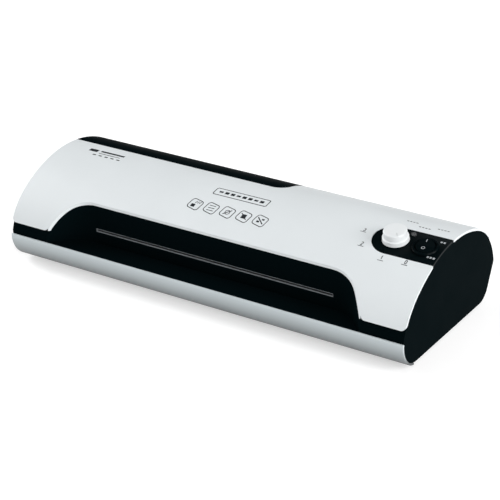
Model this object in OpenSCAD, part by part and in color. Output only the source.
// Pouch laminator: a wide, low case with an arched two-colour cover, an infeed
// recess along the front, and four geared rollers on a steel frame inside.
// X runs along the case, Y runs from the infeed (front) to the exit (rear),
// Z is up, and the origin is on the desk under the middle of the case.

/* [Case] */
// Length of the case from end to end
case_len = 390; // [388:1:396]
// Thickness of the white cover and of the front trim
skin_t = 2; // [1.8:0.1:2.2]
// Wall of the black housings
wall_t = 2; // [1.8:0.1:2.2]
// Thickness of the end caps
cap_t = 3; // [2.5:0.5:3]
// Height of the rubber feet under the case
foot_h = 4; // [3:0.5:4]

/* [Feed path] */
// Clear width of the feed slot and of the exit slot
slot_w = 237.4; // [230:0.1:238]
// Clear height of both slots
slot_h = 3.2; // [3:0.1:3.6]
// Height of the middle of the pouch path above the desk
path_z = 41.5; // [41:0.1:42]

/* [Rollers] */
// Diameter of the silicone rollers
roller_d = 19.6; // [19:0.1:19.7]
// Distance between the axes of an upper and a lower roller
roller_pitch = 20; // [20:20]
// Diameter of the roller shafts
shaft_d = 8; // [7:0.5:8]
// Distance from the front rollers to the rear rollers
roller_span = 50; // [50:50]
// How far an upper roller can lift for a thick pouch
roller_lift = 0.8; // [0.6:0.1:0.8]

/* [Gears] */
// Gear module
gear_m = 1; // [1:1]
// Teeth on each roller gear
roller_teeth = 20; // [20:20]
// Teeth on the idler between the lower rollers
idler_teeth = 30; // [30:30]
// Teeth on the motor pinion
pinion_teeth = 14; // [14:14]
// Face width of the gears
gear_w = 7; // [6:0.5:7]

/* [Controls] */
// Diameter of the skirt of the temperature knob
knob_d = 22.4; // [21:0.1:23]
// Height of the temperature knob above the panel
knob_h = 10.5; // [10:0.5:13]
// Diameter of the bezel of the power switch
bezel_d = 22.4; // [21.6:0.1:23]
// Tilt of the rocker either side of level
rocker_tilt = 7; // [6:0.5:7]

/* [Hidden] */
$fn = 64;

// Case outline, seen from the right-hand end: [y, z] pairs, front to the left
half_len = case_len / 2;
arch_c = [4.9, -23.7];          // centre of the long arch over the case
arch_r = 108.6;
nose_r = 56;                    // rounder curve down to the infeed
nose_a = 165;                   // direction where it starts, above the keel
nose_join_a = 128;              // direction where it shares a tangent with the arch
nose_c = arch_c + (arch_r - nose_r) * [cos(nose_join_a), sin(nose_join_a)];
shoulder_r = 60;                // rounder curve down to the rear
shoulder_join_a = 66;
shoulder_end_a = 18;
shoulder_c = arch_c + (arch_r - shoulder_r) * [cos(shoulder_join_a), sin(shoulder_join_a)];
keel_r = 24.5;                  // curve under the front edge
keel_c = [-56.8, foot_h + keel_r];
rear_tip = [82.8, 35.2];
rear_heel = [69.6, foot_h];
sole = [0, foot_h];
seam_z = path_z - slot_h / 2;   // the two housings meet at the lower edge of the slots
cover_edge_z = 40;              // lower front edge of the white cover
trim_edge_z = 29;               // top edge of the front trim, and the recess floor
rear_wrap_z = 60;               // the cover and the rear deck end here down the back
rear_line_y = 15;               // the cover's rear edge, on the left
wrap_x = 27;                    // the cover wraps the rear edge from here to the right
wrap_r = 12;

// Infeed recess, seen from above
front_y = nose_c[0] + nose_r * cos(nose_a);
recess_back_y = -58.6;
recess_half_front = 155.2;      // half width at the front edge
recess_half_back = 133.2;       // half width at the back wall
recess_r = 36;

// Control panel: a capsule open to the right-hand end
panel_y = -20.2;                // line of the knob and the switch
panel_mid_y = -19.1;            // middle line of the capsule
panel_half = 18;
panel_end_x = 151.2;            // centre of its round end
knob_x = 153.3;
rocker_x = 179.6;
panel_r = arch_r + skin_t - 0.2;
panel_a = acos((panel_y - arch_c[0]) / panel_r);
panel_z = arch_c[1] + panel_r * sin(panel_a);
panel_tilt = panel_a - 90;
lens_x = 163;
lens_up = 12.6;                 // along the panel, up from the line of the knob
pointer_a = -50;                // the knob points this way at its lowest setting

// Rollers, gears and frame
front_y0 = -28.4;
axis_lo = path_z - roller_pitch / 2;
axis_hi = path_z + roller_pitch / 2;
rear_y0 = front_y0 + roller_span;
idler_at = [(front_y0 + rear_y0) / 2, axis_lo];
pinion_at = idler_at + [0, gear_m * (idler_teeth + pinion_teeth) / 2];
plate_x = 124;                  // inner faces of the side plates
plate_t = 1.6;
sleeve_half = 119;
gear_x = -135;                  // outer face of the gears
gear_bore = 6;
run_fit = 0.05;                 // radial clearance of a turning shaft
bush_d = 12;
block_w = 12;
heater_y = [-15.5, 8.7];
tie_at = [[-42, 16], [36, 16], [-3.4, 71]];
bridge_z = axis_hi + 16;        // shoulders of the side plates, under the spring bridges
screw_at = [[-183, -58], [-183, 50], [183, -58], [183, 50]];
board_at = [140, 2, 18];
board_size = [44, 42, 1.6];
board_hole = [4, 4];            // holes, in from the corners of the board
pipe_len = 62;                  // lamp's light pipe, from the panel down to the board

function unit(v) = v / norm(v);
function arc(c, r, a0, a1, n, first = 0) =
    [for (i = [first:n]) let (a = a0 + (a1 - a0) * i / n) c + r * [cos(a), sin(a)]];
// Points of a round of radius r at corner b of the path a-b-c
function round_at(a, b, c, r, n) =
    let (u = unit(a - b), v = unit(c - b), half = acos(u * v) / 2,
         m = b + unit(u + v) * r / sin(half),
         p = b + u * r / tan(half) - m, q = b + v * r / tan(half) - m)
    [for (i = [0:n]) m + r * unit(p * (n - i) / n + q * i / n)];
// Each corner of a clockwise outline moved inwards by t
function inset(p, t) = let (n = len(p)) [for (i = [0:n - 1]) let (
    u = unit(p[i] - p[(i + n - 1) % n]), v = unit(p[(i + 1) % n] - p[i]),
    a = [u[1], -u[0]], b = [v[1], -v[0]]) p[i] + t * (a + b) / (1 + a * b)];

// Outline of the black case, with a round of tip_r at the rear tip
function case_outline(tip_r) = concat(
    arc(nose_c, nose_r, nose_a, nose_join_a, 14),
    arc(arch_c, arch_r, nose_join_a, shoulder_join_a, 28, 1),
    arc(shoulder_c, shoulder_r, shoulder_join_a, shoulder_end_a, 16, 1),
    round_at(shoulder_c + shoulder_r * [cos(shoulder_end_a), sin(shoulder_end_a)],
        rear_tip, rear_heel, tip_r, 6),
    round_at(rear_tip, rear_heel, sole, 16, 12),
    arc(keel_c, keel_r, 270, 180, 18));
outline = case_outline(3);
// Inside of a wall t thick, with a tip round enough to be moved in
function inside(t) = inset(case_outline(7), t);

// A profile in [y, z] drawn out along X from x0 to x1
module along_x(x0, x1)
    translate([x0, 0, 0]) rotate([90, 0, 90]) linear_extrude(x1 - x0) children();
module block(lo, hi) translate(lo) cube(hi - lo);
module rod_x(x0, x1, at, d)
    translate([x0, at[0], at[1]]) rotate([0, 90, 0]) cylinder(d = d, h = x1 - x0);
module at_panel(x, up = 0)
    translate([x, panel_y, panel_z]) rotate([panel_tilt, 0, 0]) translate([0, up, 0]) children();

// Plan of the recess, grown outwards by g
module recess_plan(g) {
    back = recess_back_y + g;
    near = front_y - 10;
    side = [recess_half_back + g, back];
    front = [recess_half_front + 11 + g, near];
    half = concat(round_at([0, back], side, front, recess_r + g, 8), [front]);
    polygon(concat(half, [for (i = [len(half) - 1:-1:0]) [-half[i][0], half[i][1]]]));
}
module recess_prism(g, z0, z1) translate([0, 0, z0]) linear_extrude(z1 - z0) recess_plan(g);

// Space of the rear deck on the left, with its round corner, grown outwards by g
module rear_cutout(g) {
    y = rear_line_y - g;
    x = wrap_x + g;
    corner = round_at([-half_len, y], [x, y], [x, 120], wrap_r + g, 8);
    translate([0, 0, 30]) linear_extrude(80)
        polygon(concat([[-half_len - 5, y]], corner, [[x, 120], [-half_len - 5, 120]]));
}
module capsule(g, z0, z1) translate([0, 0, z0]) linear_extrude(z1 - z0) union() {
    translate([panel_end_x, panel_mid_y]) circle(r = panel_half + g);
    translate([panel_end_x, panel_mid_y - panel_half - g])
        square([half_len + 5 - panel_end_x, 2 * (panel_half + g)]);
}
// Rounds off a lower corner of the cover's front edge; side is 1 or -1
module corner_round(x, side, r = 4) translate([x, front_y - 5, cover_edge_z])
    rotate([90, 0, 0]) mirror([0, 0, 1]) linear_extrude(16) difference() {
        translate([side > 0 ? -0.1 : -r, -0.1]) square([r + 0.1, r + 0.1]);
        translate([side * r, r]) circle(r = r);
    }

// Skin of thickness t over the black case, down to the cover's edges
module skin(x0, x1, t) difference() {
    along_x(x0, x1) difference() {
        polygon(inset(outline, -t));
        polygon(outline);
    }
    block([-half_len - 1, -100, -10], [half_len + 1, 40, cover_edge_z]);
    block([-half_len - 1, 39, -10], [half_len + 1, 100, rear_wrap_z]);
}
module top_cover() color("whitesmoke") difference() {
    skin(-half_len, half_len, skin_t);
    recess_prism(0, cover_edge_z - 1, 100);
    rear_cutout(0);
    capsule(0.2, 60, 100);
    corner_round(-half_len, 1);
    corner_round(half_len, -1);
    corner_round(-recess_half_front, -1);
    corner_round(recess_half_front, 1);
}

// Wall of a housing between the end caps
module shell() along_x(-half_len + cap_t, half_len - cap_t) difference() {
    polygon(outline);
    polygon(inside(wall_t));
}
// Posts and walls inside the case stop just under its outer face
module within_case() intersection() {
    union() children();
    along_x(-half_len + cap_t, half_len - cap_t) polygon(inside(0.5));
}
// Upper part of the case, with the recess walls, both slots, the vents and the
// rear deck, which stands flush with the cover
module upper_housing() color("#101416") difference() {
    union() {
        shell();
        intersection() {
            skin(-half_len, wrap_x, skin_t);
            rear_cutout(-deck_gap);
        }
        within_case() {
            recess_prism(wall_t, seam_z, 100);
            for (p = screw_at) translate([p[0], p[1], seam_z]) cylinder(d = 8, h = 50);
        }
    }
    block([-half_len - 1, -100, -10], [half_len + 1, 100, seam_z]);
    recess_prism(0, seam_z - 1, 100);
    for (y = [-70, 50]) block([-slot_w / 2, y, path_z - slot_h / 2],
        [slot_w / 2, y + 40, path_z + slot_h / 2]);
    at_panel(knob_x) translate([0, 0, -12]) cylinder(d = 10.4, h = 20);
    at_panel(rocker_x) translate([0, 0, -12]) cylinder(d = 20.2, h = 20);
    at_panel(lens_x, lens_up) translate([0, 0, -12]) cylinder(d = 4.4, h = 20);
    for (p = screw_at) translate([p[0], p[1], 20]) cylinder(d = 3, h = screw_top - 19);
    for (x = rear_vents) translate([x, shoulder_c[0], shoulder_c[1]])
        rotate([vent_a - 90, 0, 0]) block([-1.5, -6, shoulder_r - 10], [1.5, 6, shoulder_r + 10]);
}

vent_rows = [for (i = [0:10]) -50 + i * 10];
rear_vents = [for (i = [0:15]) -165 + i * 10];
vent_a = 32;                    // direction of the rear vents, below the rear deck
deck_gap = 0.15;                // between the rear deck and the cover
screw_top = seam_z + 6;         // upper end of the case screws
frame_foot_y = [-38, 32];       // side plates are screwed down here
frame_foot_x = 132;
bead_y = -keel_c[0] + keel_r + skin_t;  // the bead along the rear reaches as far as the trim in front
// Lower part of the case: floor of the recess, screw posts, vents and gland hole
module lower_housing() color("#101416") difference() {
    union() {
        shell();
        within_case() {
            recess_prism(wall_t, trim_edge_z - wall_t, seam_z);
            for (p = screw_at) translate([p[0], p[1], 0]) cylinder(d = 8, h = seam_z);
        }
        along_x(-half_len + cap_t + 4, half_len - cap_t - 4)
            translate([rear_tip[0] - 1.2, rear_tip[1] - 1.4]) square([bead_y - rear_tip[0] + 1.2, 1.4]);
        for (s = [-1, 1], y = frame_foot_y) block([s * frame_foot_x - 6, y - 5, foot_h + 1],
            [s * frame_foot_x + 6, y + 5, foot_h + 6]);
    }
    block([-half_len - 1, -100, seam_z], [half_len + 1, 100, 120]);
    recess_prism(0, trim_edge_z, 100);
    for (p = screw_at) {
        translate([p[0], p[1], -1]) cylinder(d = 3, h = 50);
        translate([p[0], p[1], -1]) cylinder(d = 6.4, h = foot_h + 4);
    }
    for (s = [-1, 1], y = frame_foot_y)
        translate([s * frame_foot_x, y, foot_h + 1]) cylinder(d = 2.4, h = 8);
    for (x = vent_rows, y = [-24, 4]) block([x - 1.5, y, -1], [x + 1.5, y + 20, foot_h + 4]);
    gland_place() translate([0, 0, -12]) cylinder(d = 10, h = 20);
}

module front_trim() color("gainsboro") intersection() {
    along_x(-half_len, half_len) difference() {
        polygon(inset(outline, -skin_t));
        polygon(outline);
    }
    block([-half_len - 1, -100, -10], [half_len + 1, keel_c[0] - 6, trim_edge_z]);
}

// End caps: a flat face with a lip that plugs into both housings
module end_cap(side) mirror([side < 0 ? 1 : 0, 0, 0]) {
    along_x(half_len - cap_t, half_len - 0.5) polygon(outline);
    difference() {
        along_x(half_len - cap_t - 4, half_len - cap_t) difference() {
            polygon(inside(wall_t + 0.1));
            polygon(inside(wall_t + 1.8));
        }
        if (side > 0) at_panel(rocker_x) translate([0, 0, -30]) cylinder(d = 24, h = 40);
    }
}
module left_end_cap() color("#0c1012") end_cap(-1);
module right_end_cap() color("#0c1012") end_cap(1);

// Curved black insert that carries the knob, the switch and the lamp
module control_panel() color("#14181a") difference() {
    intersection() {
        along_x(panel_end_x - panel_half - 2, half_len - 0.5) difference() {
            polygon(inset(outline, -skin_t + 0.2));
            polygon(outline);
        }
        capsule(0, 60, 100);
    }
    at_panel(knob_x) translate([0, 0, -12]) cylinder(d = 10.4, h = 20);
    at_panel(rocker_x) translate([0, 0, -12]) cylinder(d = 20.2, h = 20);
    at_panel(lens_x, lens_up) translate([0, 0, -12]) cylinder(d = 4.4, h = 20);
}

// Funnels that lead the pouch in to the rollers and out behind them; each is
// open from y0 to y1, and narrows from its mouth over the ramp
throat_h = 2;
ramp_len = 8;
guide_t = 1.8;
module funnel(y0, y1, mouth_y) difference() {
    block([-slot_w / 2 - 2, min(y0, y1), path_z - slot_h / 2 - guide_t],
        [slot_w / 2 + 2, max(y0, y1), path_z + slot_h / 2 + guide_t]);
    along_x(-slot_w / 2, slot_w / 2) translate([mouth_y, path_z])
        polygon([[-1, slot_h / 2], [0, slot_h / 2], [ramp_len, throat_h / 2], [60, throat_h / 2],
            [60, -throat_h / 2], [ramp_len, -throat_h / 2], [0, -slot_h / 2], [-1, -slot_h / 2]]);
}
// The feed guide's nose fills the front slot, flush with the back wall of the recess
nose_t = 0.6;
module feed_guide() color("#505254") {
    funnel(recess_back_y + wall_t, front_y0 - 10.6, recess_back_y + wall_t);
    difference() {
        block([-slot_w / 2, recess_back_y, path_z - slot_h / 2],
            [slot_w / 2, recess_back_y + wall_t, path_z + slot_h / 2]);
        block([-slot_w / 2 + nose_t, recess_back_y - 1, path_z - slot_h / 2 + nose_t],
            [slot_w / 2 - nose_t, recess_back_y + wall_t + 1, path_z + slot_h / 2 - nose_t]);
    }
}
module exit_guide() color("#202426") funnel(rear_y0 + 10.6, 76, rear_y0 + 10.6);

foot_at = [[-165, -46], [-165, 42], [165, -46], [165, 42]];
module rubber_feet() color("#2a2a2a") for (p = foot_at)
    translate([p[0], p[1], 0]) rotate_extrude() polygon([[0, 0], [7, 0], [8, 1], [8, foot_h], [0, foot_h]]);

module screw(at, d, len, head_d, head_h) translate(at) {
    cylinder(d = d, h = len);
    translate([0, 0, -head_h]) difference() {
        cylinder(d = head_d, h = head_h);
        for (a = [0, 90]) rotate(a) translate([-head_d * 0.3, -0.4, -1]) cube([head_d * 0.6, 0.8, 1.8]);
    }
}
module case_screws() color("silver") for (p = screw_at)
    screw([p[0], p[1], foot_h + 3], 3, screw_top - foot_h - 3, 5.8, 2.2);

// Strain relief in the rear wall of the lower housing, square to that wall
gland_x = 168;
wall_dir = rear_tip - rear_heel;
gland_mid = rear_heel + wall_dir * 0.54;
module gland_place() translate([gland_x, gland_mid[0], gland_mid[1]])
    rotate([atan2(wall_dir[1], wall_dir[0]) - 180, 0, 0]) children();
module cord_gland() color("#18191a") gland_place() rotate_extrude()
    polygon([[2.6, -5], [4.9, -5], [4.9, 0], [7.5, 0], [7.5, 2], [6, 3.4], [4.6, 5], [2.6, 5]]);

// Temperature knob: skirt, slightly narrower cap and a bore for the shaft
module knob() color("white") at_panel(knob_x) difference() {
    r = knob_d / 2;
    cap_r = r * 0.87;
    rotate_extrude() polygon(concat([[0, 0.4], [r - 0.4, 0.4], [r, 0.9], [r - 0.3, 2.6]],
        arc([cap_r, 3.6], 1.2, 0, 90, 4, 1), [[cap_r, 5.2]],
        arc([cap_r - 1.2, knob_h - 1.2], 1.2, 0, 90, 5), [[0, knob_h]]));
    translate([0, 0, -1]) cylinder(d = 16, h = 5);
    translate([0, 0, 3]) cylinder(d = 6, h = knob_h - 5);
    rotate(pointer_a) translate([cap_r - 5, -0.5, knob_h - 0.5]) cube([6, 1, 2]);
}
module selector_shaft() color("silver") at_panel(knob_x)
    translate([0, 0, -14]) cylinder(d = 6, h = knob_h - 2.4 + 14);
module selector_switch() color("#2c5a8a") at_panel(knob_x) difference() {
    union() {
        translate([-8.5, -8.5, -18]) cube([17, 17, 12.4]);
        translate([0, 0, -6]) cylinder(d = 9.6, h = 9.4);
        for (i = [-1:1]) translate([i * 5 - 1.2, -13, -14]) cube([2.4, 5, 0.8]);
    }
    translate([0, 0, -14.4]) cylinder(r = 3 + run_fit, h = 30);
}
module selector_nut() color("silver") at_panel(knob_x) difference() {
    translate([0, 0, 0.2]) cylinder(d = 14, h = 2.2, $fn = 6);
    translate([0, 0, -1]) cylinder(d = 9.6, h = 5);
}

// Round power switch: bezel and barrel, tilting rocker on two pins, terminals
pivot_z = -1.4;
rocker_r = 8.5;
module rocker_bezel() color("#0e1214") at_panel(rocker_x) difference() {
    union() {
        rotate_extrude() polygon([[8, 0.1], [bezel_d / 2, 0.1], [bezel_d / 2, 0.9],
            [bezel_d / 2 - 0.7, 1.8], [8, 1.8]]);
        translate([0, 0, -20]) cylinder(d = 19.8, h = 20.4);
    }
    translate([0, 0, -12]) cylinder(r = 8.9, h = 20);
    translate([-12, 0, pivot_z]) rotate([0, 90, 0]) cylinder(r = 1.2 + run_fit, h = 24);
}
module rocker() color("#0a0d0f") at_panel(rocker_x) translate([0, 0, pivot_z])
    rotate([rocker_tilt, 0, 0]) union() {
        intersection() {
            sphere(r = rocker_r);
            union() for (s = [-1, 1]) mirror([0, s < 0 ? 1 : 0, 0])
                rotate([rocker_tilt * 0.9, 0, 0]) translate([-9, 0, -4]) cube([18, 9, 7.2]);
            translate([-9, -9, -3.2]) cube([18, 18, 8]);
        }
        translate([-9.7, 0, 0]) rotate([0, 90, 0]) cylinder(r = 1.2, h = 19.4);
    }
module rocker_terminals() color("goldenrod") at_panel(rocker_x)
    for (y = [-6, 0, 6]) translate([-2.4, y - 0.4, -29]) cube([4.8, 0.8, 9]);

// Clear pipe that carries the lamp's light from the board up to the panel
module indicator_light_pipe() color("lightgrey") at_panel(lens_x, lens_up) {
    translate([0, 0, -pipe_len]) cylinder(d = 3, h = pipe_len - 2);
    translate([0, 0, -3]) cylinder(d = 4.2, h = 3.6);
}
// Places the children at each hole of the board
module board_holes() for (x = [board_hole[0], board_size[0] - board_hole[0]],
    y = [board_hole[1], board_size[1] - board_hole[1]])
    translate([board_at[0] + x, board_at[1] + y, 0]) children();
module control_board() color("seagreen") difference() {
    translate(board_at) cube(board_size);
    board_holes() cylinder(d = 3.2, h = 40);
}
module board_standoffs() color("#101416") board_holes()
    translate([0, 0, foot_h + wall_t]) cylinder(d = 6, h = board_at[2] - foot_h - wall_t);
module board_parts() color("#3a3a40") translate(board_at + [0, 0, board_size[2]]) {
    translate([9, 12, 0]) cube([16, 20, 14]);
    translate([34, 12, 0]) cylinder(d = 9, h = 15);
    translate([28, 24, 0]) cube([12, 8, 9]);
    for (x = [10, 14.5, 19]) translate([x, 6, 0]) cylinder(d = 3, h = 5);
}
// The lamp's light source stands just under the lower end of the pipe
led_y = panel_y + lens_up * cos(panel_tilt) + pipe_len * sin(panel_tilt);
module board_led() color("limegreen")
    translate([lens_x, led_y, board_at[2] + board_size[2]]) {
        cylinder(d = 4, h = 1);
        cylinder(d = 3, h = 5);
    }

// Frame: two side plates with bush holes below and open slots above
// The tongue between the two pairs of shoulders carries the top tie
module plate_profile() difference() {
    union() {
        polygon([[-47, 10], [41, 10], [41, bridge_z], [-42, bridge_z], [-47, 60]]);
        polygon([[-15.5, bridge_z - 1], [8.7, bridge_z - 1], [8.7, 70], [4, 76], [-11, 76], [-15.5, 70]]);
    }
    for (y = [front_y0, rear_y0]) {
        translate([y, axis_lo]) circle(d = bush_d);
        translate([y - block_w / 2 - 0.1, axis_hi - 7]) square([block_w + 0.2, 40]);
    }
}
module side_plate(side) mirror([side < 0 ? 1 : 0, 0, 0]) difference() {
    union() {
        along_x(plate_x, plate_x + plate_t) plate_profile();
        for (y = frame_foot_y) block([plate_x, y - 7, 10], [plate_x + 14, y + 7, 10 + plate_t]);
    }
    for (y = frame_foot_y) translate([frame_foot_x, y, 5]) cylinder(d = 3.2, h = 10);
    for (p = tie_at) rod_x(plate_x - 5, plate_x + 5, p, 3);
    if (side < 0) {
        rod_x(plate_x - 5, plate_x + 5, idler_at, gear_bore);
        for (p = motor_post_at) rod_x(plate_x - 5, plate_x + 5, p, 3);
    }
}
module left_side_plate() color("#b8bcc0") side_plate(-1);
module right_side_plate() color("#b8bcc0") side_plate(1);
module cross_ties() color("silver") for (p = tie_at) {
    rod_x(-plate_x, plate_x, p, 6);
    rod_x(-plate_x - plate_t, plate_x + plate_t, p, 3);
}
module frame_screws() color("silver") {
    for (p = tie_at, s = [-1, 1]) mirror([s < 0 ? 1 : 0, 0, 0])
        rod_x(plate_x + plate_t, plate_x + plate_t + 1.8, p, 6);
    for (s = [-1, 1], y = frame_foot_y) translate([s * frame_foot_x, y, 5]) {
        cylinder(d = 2.4, h = 6.6);
        translate([0, 0, 6.6]) cylinder(d = 5, h = 1.8);
    }
}

// Rollers: a steel shaft in a silicone sleeve, with a gear pressed on its left end
module shaft(at) color("silver") rod_x(gear_x - 1, plate_x + 6, at, shaft_d);
module sleeve(at) color("#b5482a") difference() {
    rod_x(-sleeve_half, sleeve_half, at, roller_d);
    rod_x(-sleeve_half - 1, sleeve_half + 1, at, shaft_d);
}
function inv(a) = tan(a) - a * PI / 180;
// Outline of a gear of z teeth with involute flanks and a tooth centred at turn
function gear_points(z, turn) =
    let (r = gear_m * z / 2, rb = r * cos(20), rf = r - 1.15 * gear_m, ra = r + 0.85 * gear_m,
         lo = max(rb + 0.01, rf), slack = 0.12 / r * 180 / PI,
         lean = function (q) (inv(20) - inv(acos(rb / q))) * 180 / PI + 90 / z - slack,
         rs = [for (i = [0:4]) lo + (ra - lo) * i / 4],
         flank = [for (q = rs) [q, lean(q)]])
    [for (k = [0:z - 1], s = concat([[rf, -lean(lo) * 1.05]], [for (f = flank) [f[0], -f[1]]],
        [for (i = [4:-1:0]) flank[i]], [[rf, lean(lo) * 1.05]]))
        let (a = turn + 360 * k / z + s[1]) s[0] * [cos(a), sin(a)]];
module gear(at, z, turn, bore) difference() {
    union() {
        along_x(gear_x, gear_x + gear_w) translate(at) polygon(gear_points(z, turn));
        rod_x(gear_x, gear_x + gear_w + 1, at, bore + 5);
    }
    rod_x(gear_x - 5, gear_x + 15, at, bore);
}
half_tooth = 180 / roller_teeth;
module front_lower_shaft() shaft([front_y0, axis_lo]);
module front_upper_shaft() shaft([front_y0, axis_hi]);
module rear_lower_shaft() shaft([rear_y0, axis_lo]);
module rear_upper_shaft() shaft([rear_y0, axis_hi]);
module front_lower_sleeve() sleeve([front_y0, axis_lo]);
module front_upper_sleeve() sleeve([front_y0, axis_hi]);
module rear_lower_sleeve() sleeve([rear_y0, axis_lo]);
module rear_upper_sleeve() sleeve([rear_y0, axis_hi]);
module front_lower_gear() color("ivory") gear([front_y0, axis_lo], roller_teeth, 0, shaft_d);
module front_upper_gear() color("ivory") gear([front_y0, axis_hi], roller_teeth, half_tooth, shaft_d);
module rear_lower_gear() color("ivory") gear([rear_y0, axis_lo], roller_teeth, 0, shaft_d);
module rear_upper_gear() color("ivory") gear([rear_y0, axis_hi], roller_teeth, half_tooth, shaft_d);

// Bearings: round bushes below, sliding blocks above
block_up = 6.5;                 // half height of a sliding block
module lower_bushes() color("tan") for (s = [-1, 1], y = [front_y0, rear_y0])
    mirror([s < 0 ? 1 : 0, 0, 0]) difference() {
        union() {
            rod_x(plate_x - 1.5, plate_x, [y, axis_lo], bush_d + 3);
            rod_x(plate_x, plate_x + plate_t + 0.6, [y, axis_lo], bush_d);
        }
        rod_x(plate_x - 5, plate_x + 5, [y, axis_lo], shaft_d + 2 * run_fit);
    }
module bearing_blocks(y) color("tan") for (s = [-1, 1]) mirror([s < 0 ? 1 : 0, 0, 0]) difference() {
    union() {
        block([plate_x - 3.6, y - block_w / 2 - 2, axis_hi - block_up],
            [plate_x - 0.1, y + block_w / 2 + 2, axis_hi + block_up]);
        block([plate_x - 0.1, y - block_w / 2, axis_hi - block_up],
            [plate_x + plate_t + 0.6, y + block_w / 2, axis_hi + block_up]);
    }
    rod_x(plate_x - 5, plate_x + 5, [y, axis_hi], shaft_d + 2 * run_fit);
}
module front_bearing_blocks() bearing_blocks(front_y0);
module rear_bearing_blocks() bearing_blocks(rear_y0);

// Coil springs that press the sliding blocks down, swept as a closed tube
spring_h = bridge_z - axis_hi - block_up - roller_lift - 0.2;
spring_x = plate_x - 0.6;
spring_r = 3.2;
wire_r = 0.5;
coil_steps = 60;
coil_turns = 5;
wire_sides = 6;
spring_points = [for (i = [0:coil_steps], k = [0:wire_sides - 1]) let (
    a = 360 * coil_turns * i / coil_steps, b = 360 * k / wire_sides, q = spring_r + wire_r * cos(b))
    [q * cos(a), q * sin(a), wire_r * 1.2 + (spring_h - 2.4 * wire_r) * i / coil_steps + wire_r * sin(b)]];
spring_faces = concat(
    [[for (k = [0:wire_sides - 1]) k]],
    [[for (k = [wire_sides - 1:-1:0]) coil_steps * wire_sides + k]],
    [for (i = [0:coil_steps - 1], k = [0:wire_sides - 1]) let (
        a = i * wire_sides + k, b = i * wire_sides + (k + 1) % wire_sides)
        [a, a + wire_sides, b + wire_sides, b]]);
module pressure_springs(y) color("silver") for (s = [-1, 1])
    translate([s * spring_x, y, axis_hi + block_up]) polyhedron(spring_points, spring_faces, 4);
module front_pressure_springs() pressure_springs(front_y0);
module rear_pressure_springs() pressure_springs(rear_y0);
// Straps over the springs; their tabs are welded to the inner face of the side plates
module spring_bridges() color("#b8bcc0") for (s = [-1, 1], y = [front_y0, rear_y0])
    mirror([s < 0 ? 1 : 0, 0, 0]) {
        block([spring_x - 4.6, y - 11.5, bridge_z], [spring_x + 4.6, y + 11.5, bridge_z + plate_t]);
        for (e = [-11.5, 9]) block([plate_x - 1.2, y + e, bridge_z - 6], [plate_x, y + e + 2.5, bridge_z]);
    }

// Heater: two ribbed aluminium plates, flat elements, thermostats and a fuse
module heater_plate(z0, z1, rib) difference() {
    block([-sleeve_half, heater_y[0], z0], [sleeve_half, heater_y[1], z1]);
    for (y = [heater_y[0] + 4, heater_y[1] - 7])
        block([-sleeve_half - 1, y, rib], [sleeve_half + 1, y + 3, rib + 1.2]);
}
module upper_heater_plate() color("#c9cccf") {
    heater_plate(path_z + 1.2, path_z + 5.2, path_z + 4);
    for (s = [-1, 1]) heater_tab(s, path_z + 1.2, path_z + 5.2);
}
module lower_heater_plate() color("#c9cccf") {
    heater_plate(path_z - 5.2, path_z - 1.2, path_z - 5.2);
    for (s = [-1, 1]) heater_tab(s, path_z - 5.2, path_z - 1.2);
}
module heater_tab(s, z0, z1) mirror([s < 0 ? 1 : 0, 0, 0])
    block([sleeve_half, heater_y[0] + 9, z0], [plate_x, heater_y[1] - 9, z1]);
module heating_elements() color("#8a6d3b") for (z = [path_z + 5.2, path_z - 6.4])
    block([-110, heater_y[0] + 8, z], [110, heater_y[1] - 8, z + 1.2]);
module thermostats() color("#d8d2c4") for (x = [-60, 40]) translate([x, idler_at[0], path_z + 6.4]) {
    cylinder(d = 16, h = 5);
    translate([0, 0, 5]) cylinder(d = 10, h = 4);
    for (s = [-1, 1]) translate([s * 7 - 3, -2, 5]) cube([6, 4, 0.8]);
}
module thermal_fuse() color("#c8b89a") translate([-12, idler_at[0], path_z + 8.4]) {
    rotate([0, 90, 0]) cylinder(d = 4, h = 14);
    for (s = [-8, 14]) translate([s, 0, 0]) rotate([0, 90, 0]) cylinder(d = 1, h = 8);
}

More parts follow.
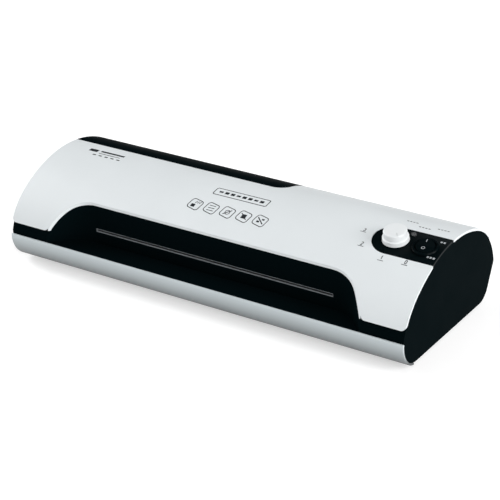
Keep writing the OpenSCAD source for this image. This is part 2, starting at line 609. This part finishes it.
// Gear motor on a bracket outside the gears
motor_x = -144;
motor_d = 48;
motor_post_at = [[-12, 65], [5.2, 65], [-22.8, 15], [16, 15]];
module drive_motor() color("#a9adb1") {
    rod_x(motor_x - 20, motor_x, pinion_at - [0, 0.5], motor_d);
    rod_x(motor_x - 24, motor_x - 20, pinion_at - [0, 0.5], 20);
}
module motor_bracket() color("#b8bcc0") {
    difference() {
        along_x(motor_x, motor_x + 1.5)
            polygon([[-28, 10], [-28, 58], [-16, 70], [9.2, 70], [21.2, 58], [21.2, 10]]);
        rod_x(motor_x - 1, motor_x + 3, pinion_at, 9);
    }
    for (p = motor_post_at) {
        rod_x(motor_x + 1.5, -plate_x - plate_t, p, 6);
        rod_x(-plate_x - plate_t, -plate_x, p, 3);
    }
}
module motor_pinion() color("goldenrod") {
    along_x(gear_x, gear_x + gear_w) translate(pinion_at) polygon(gear_points(pinion_teeth, 0));
    rod_x(motor_x + 0.1, gear_x + gear_w + 1, pinion_at, 5);
}
module idler_gear() color("ivory") gear(idler_at, idler_teeth, 180 / idler_teeth, gear_bore + 2 * run_fit);
module idler_stud() color("silver") {
    rod_x(gear_x - 2, -plate_x, idler_at, gear_bore);
    rod_x(gear_x - 2.4, gear_x - 0.4, idler_at, gear_bore + 4);
}

top_cover();
upper_housing();
lower_housing();
front_trim();
left_end_cap();
right_end_cap();
control_panel();
feed_guide();
exit_guide();
rubber_feet();
case_screws();
cord_gland();
knob();
selector_shaft();
selector_switch();
selector_nut();
rocker();
rocker_bezel();
rocker_terminals();
indicator_light_pipe();
control_board();
board_parts();
board_led();
board_standoffs();
left_side_plate();
right_side_plate();
cross_ties();
frame_screws();
front_lower_shaft();
front_lower_sleeve();
front_lower_gear();
front_upper_shaft();
front_upper_sleeve();
front_upper_gear();
rear_lower_shaft();
rear_lower_sleeve();
rear_lower_gear();
rear_upper_shaft();
rear_upper_sleeve();
rear_upper_gear();
lower_bushes();
front_bearing_blocks();
rear_bearing_blocks();
front_pressure_springs();
rear_pressure_springs();
spring_bridges();
upper_heater_plate();
lower_heater_plate();
heating_elements();
thermostats();
thermal_fuse();
drive_motor();
motor_bracket();
motor_pinion();
idler_gear();
idler_stud();
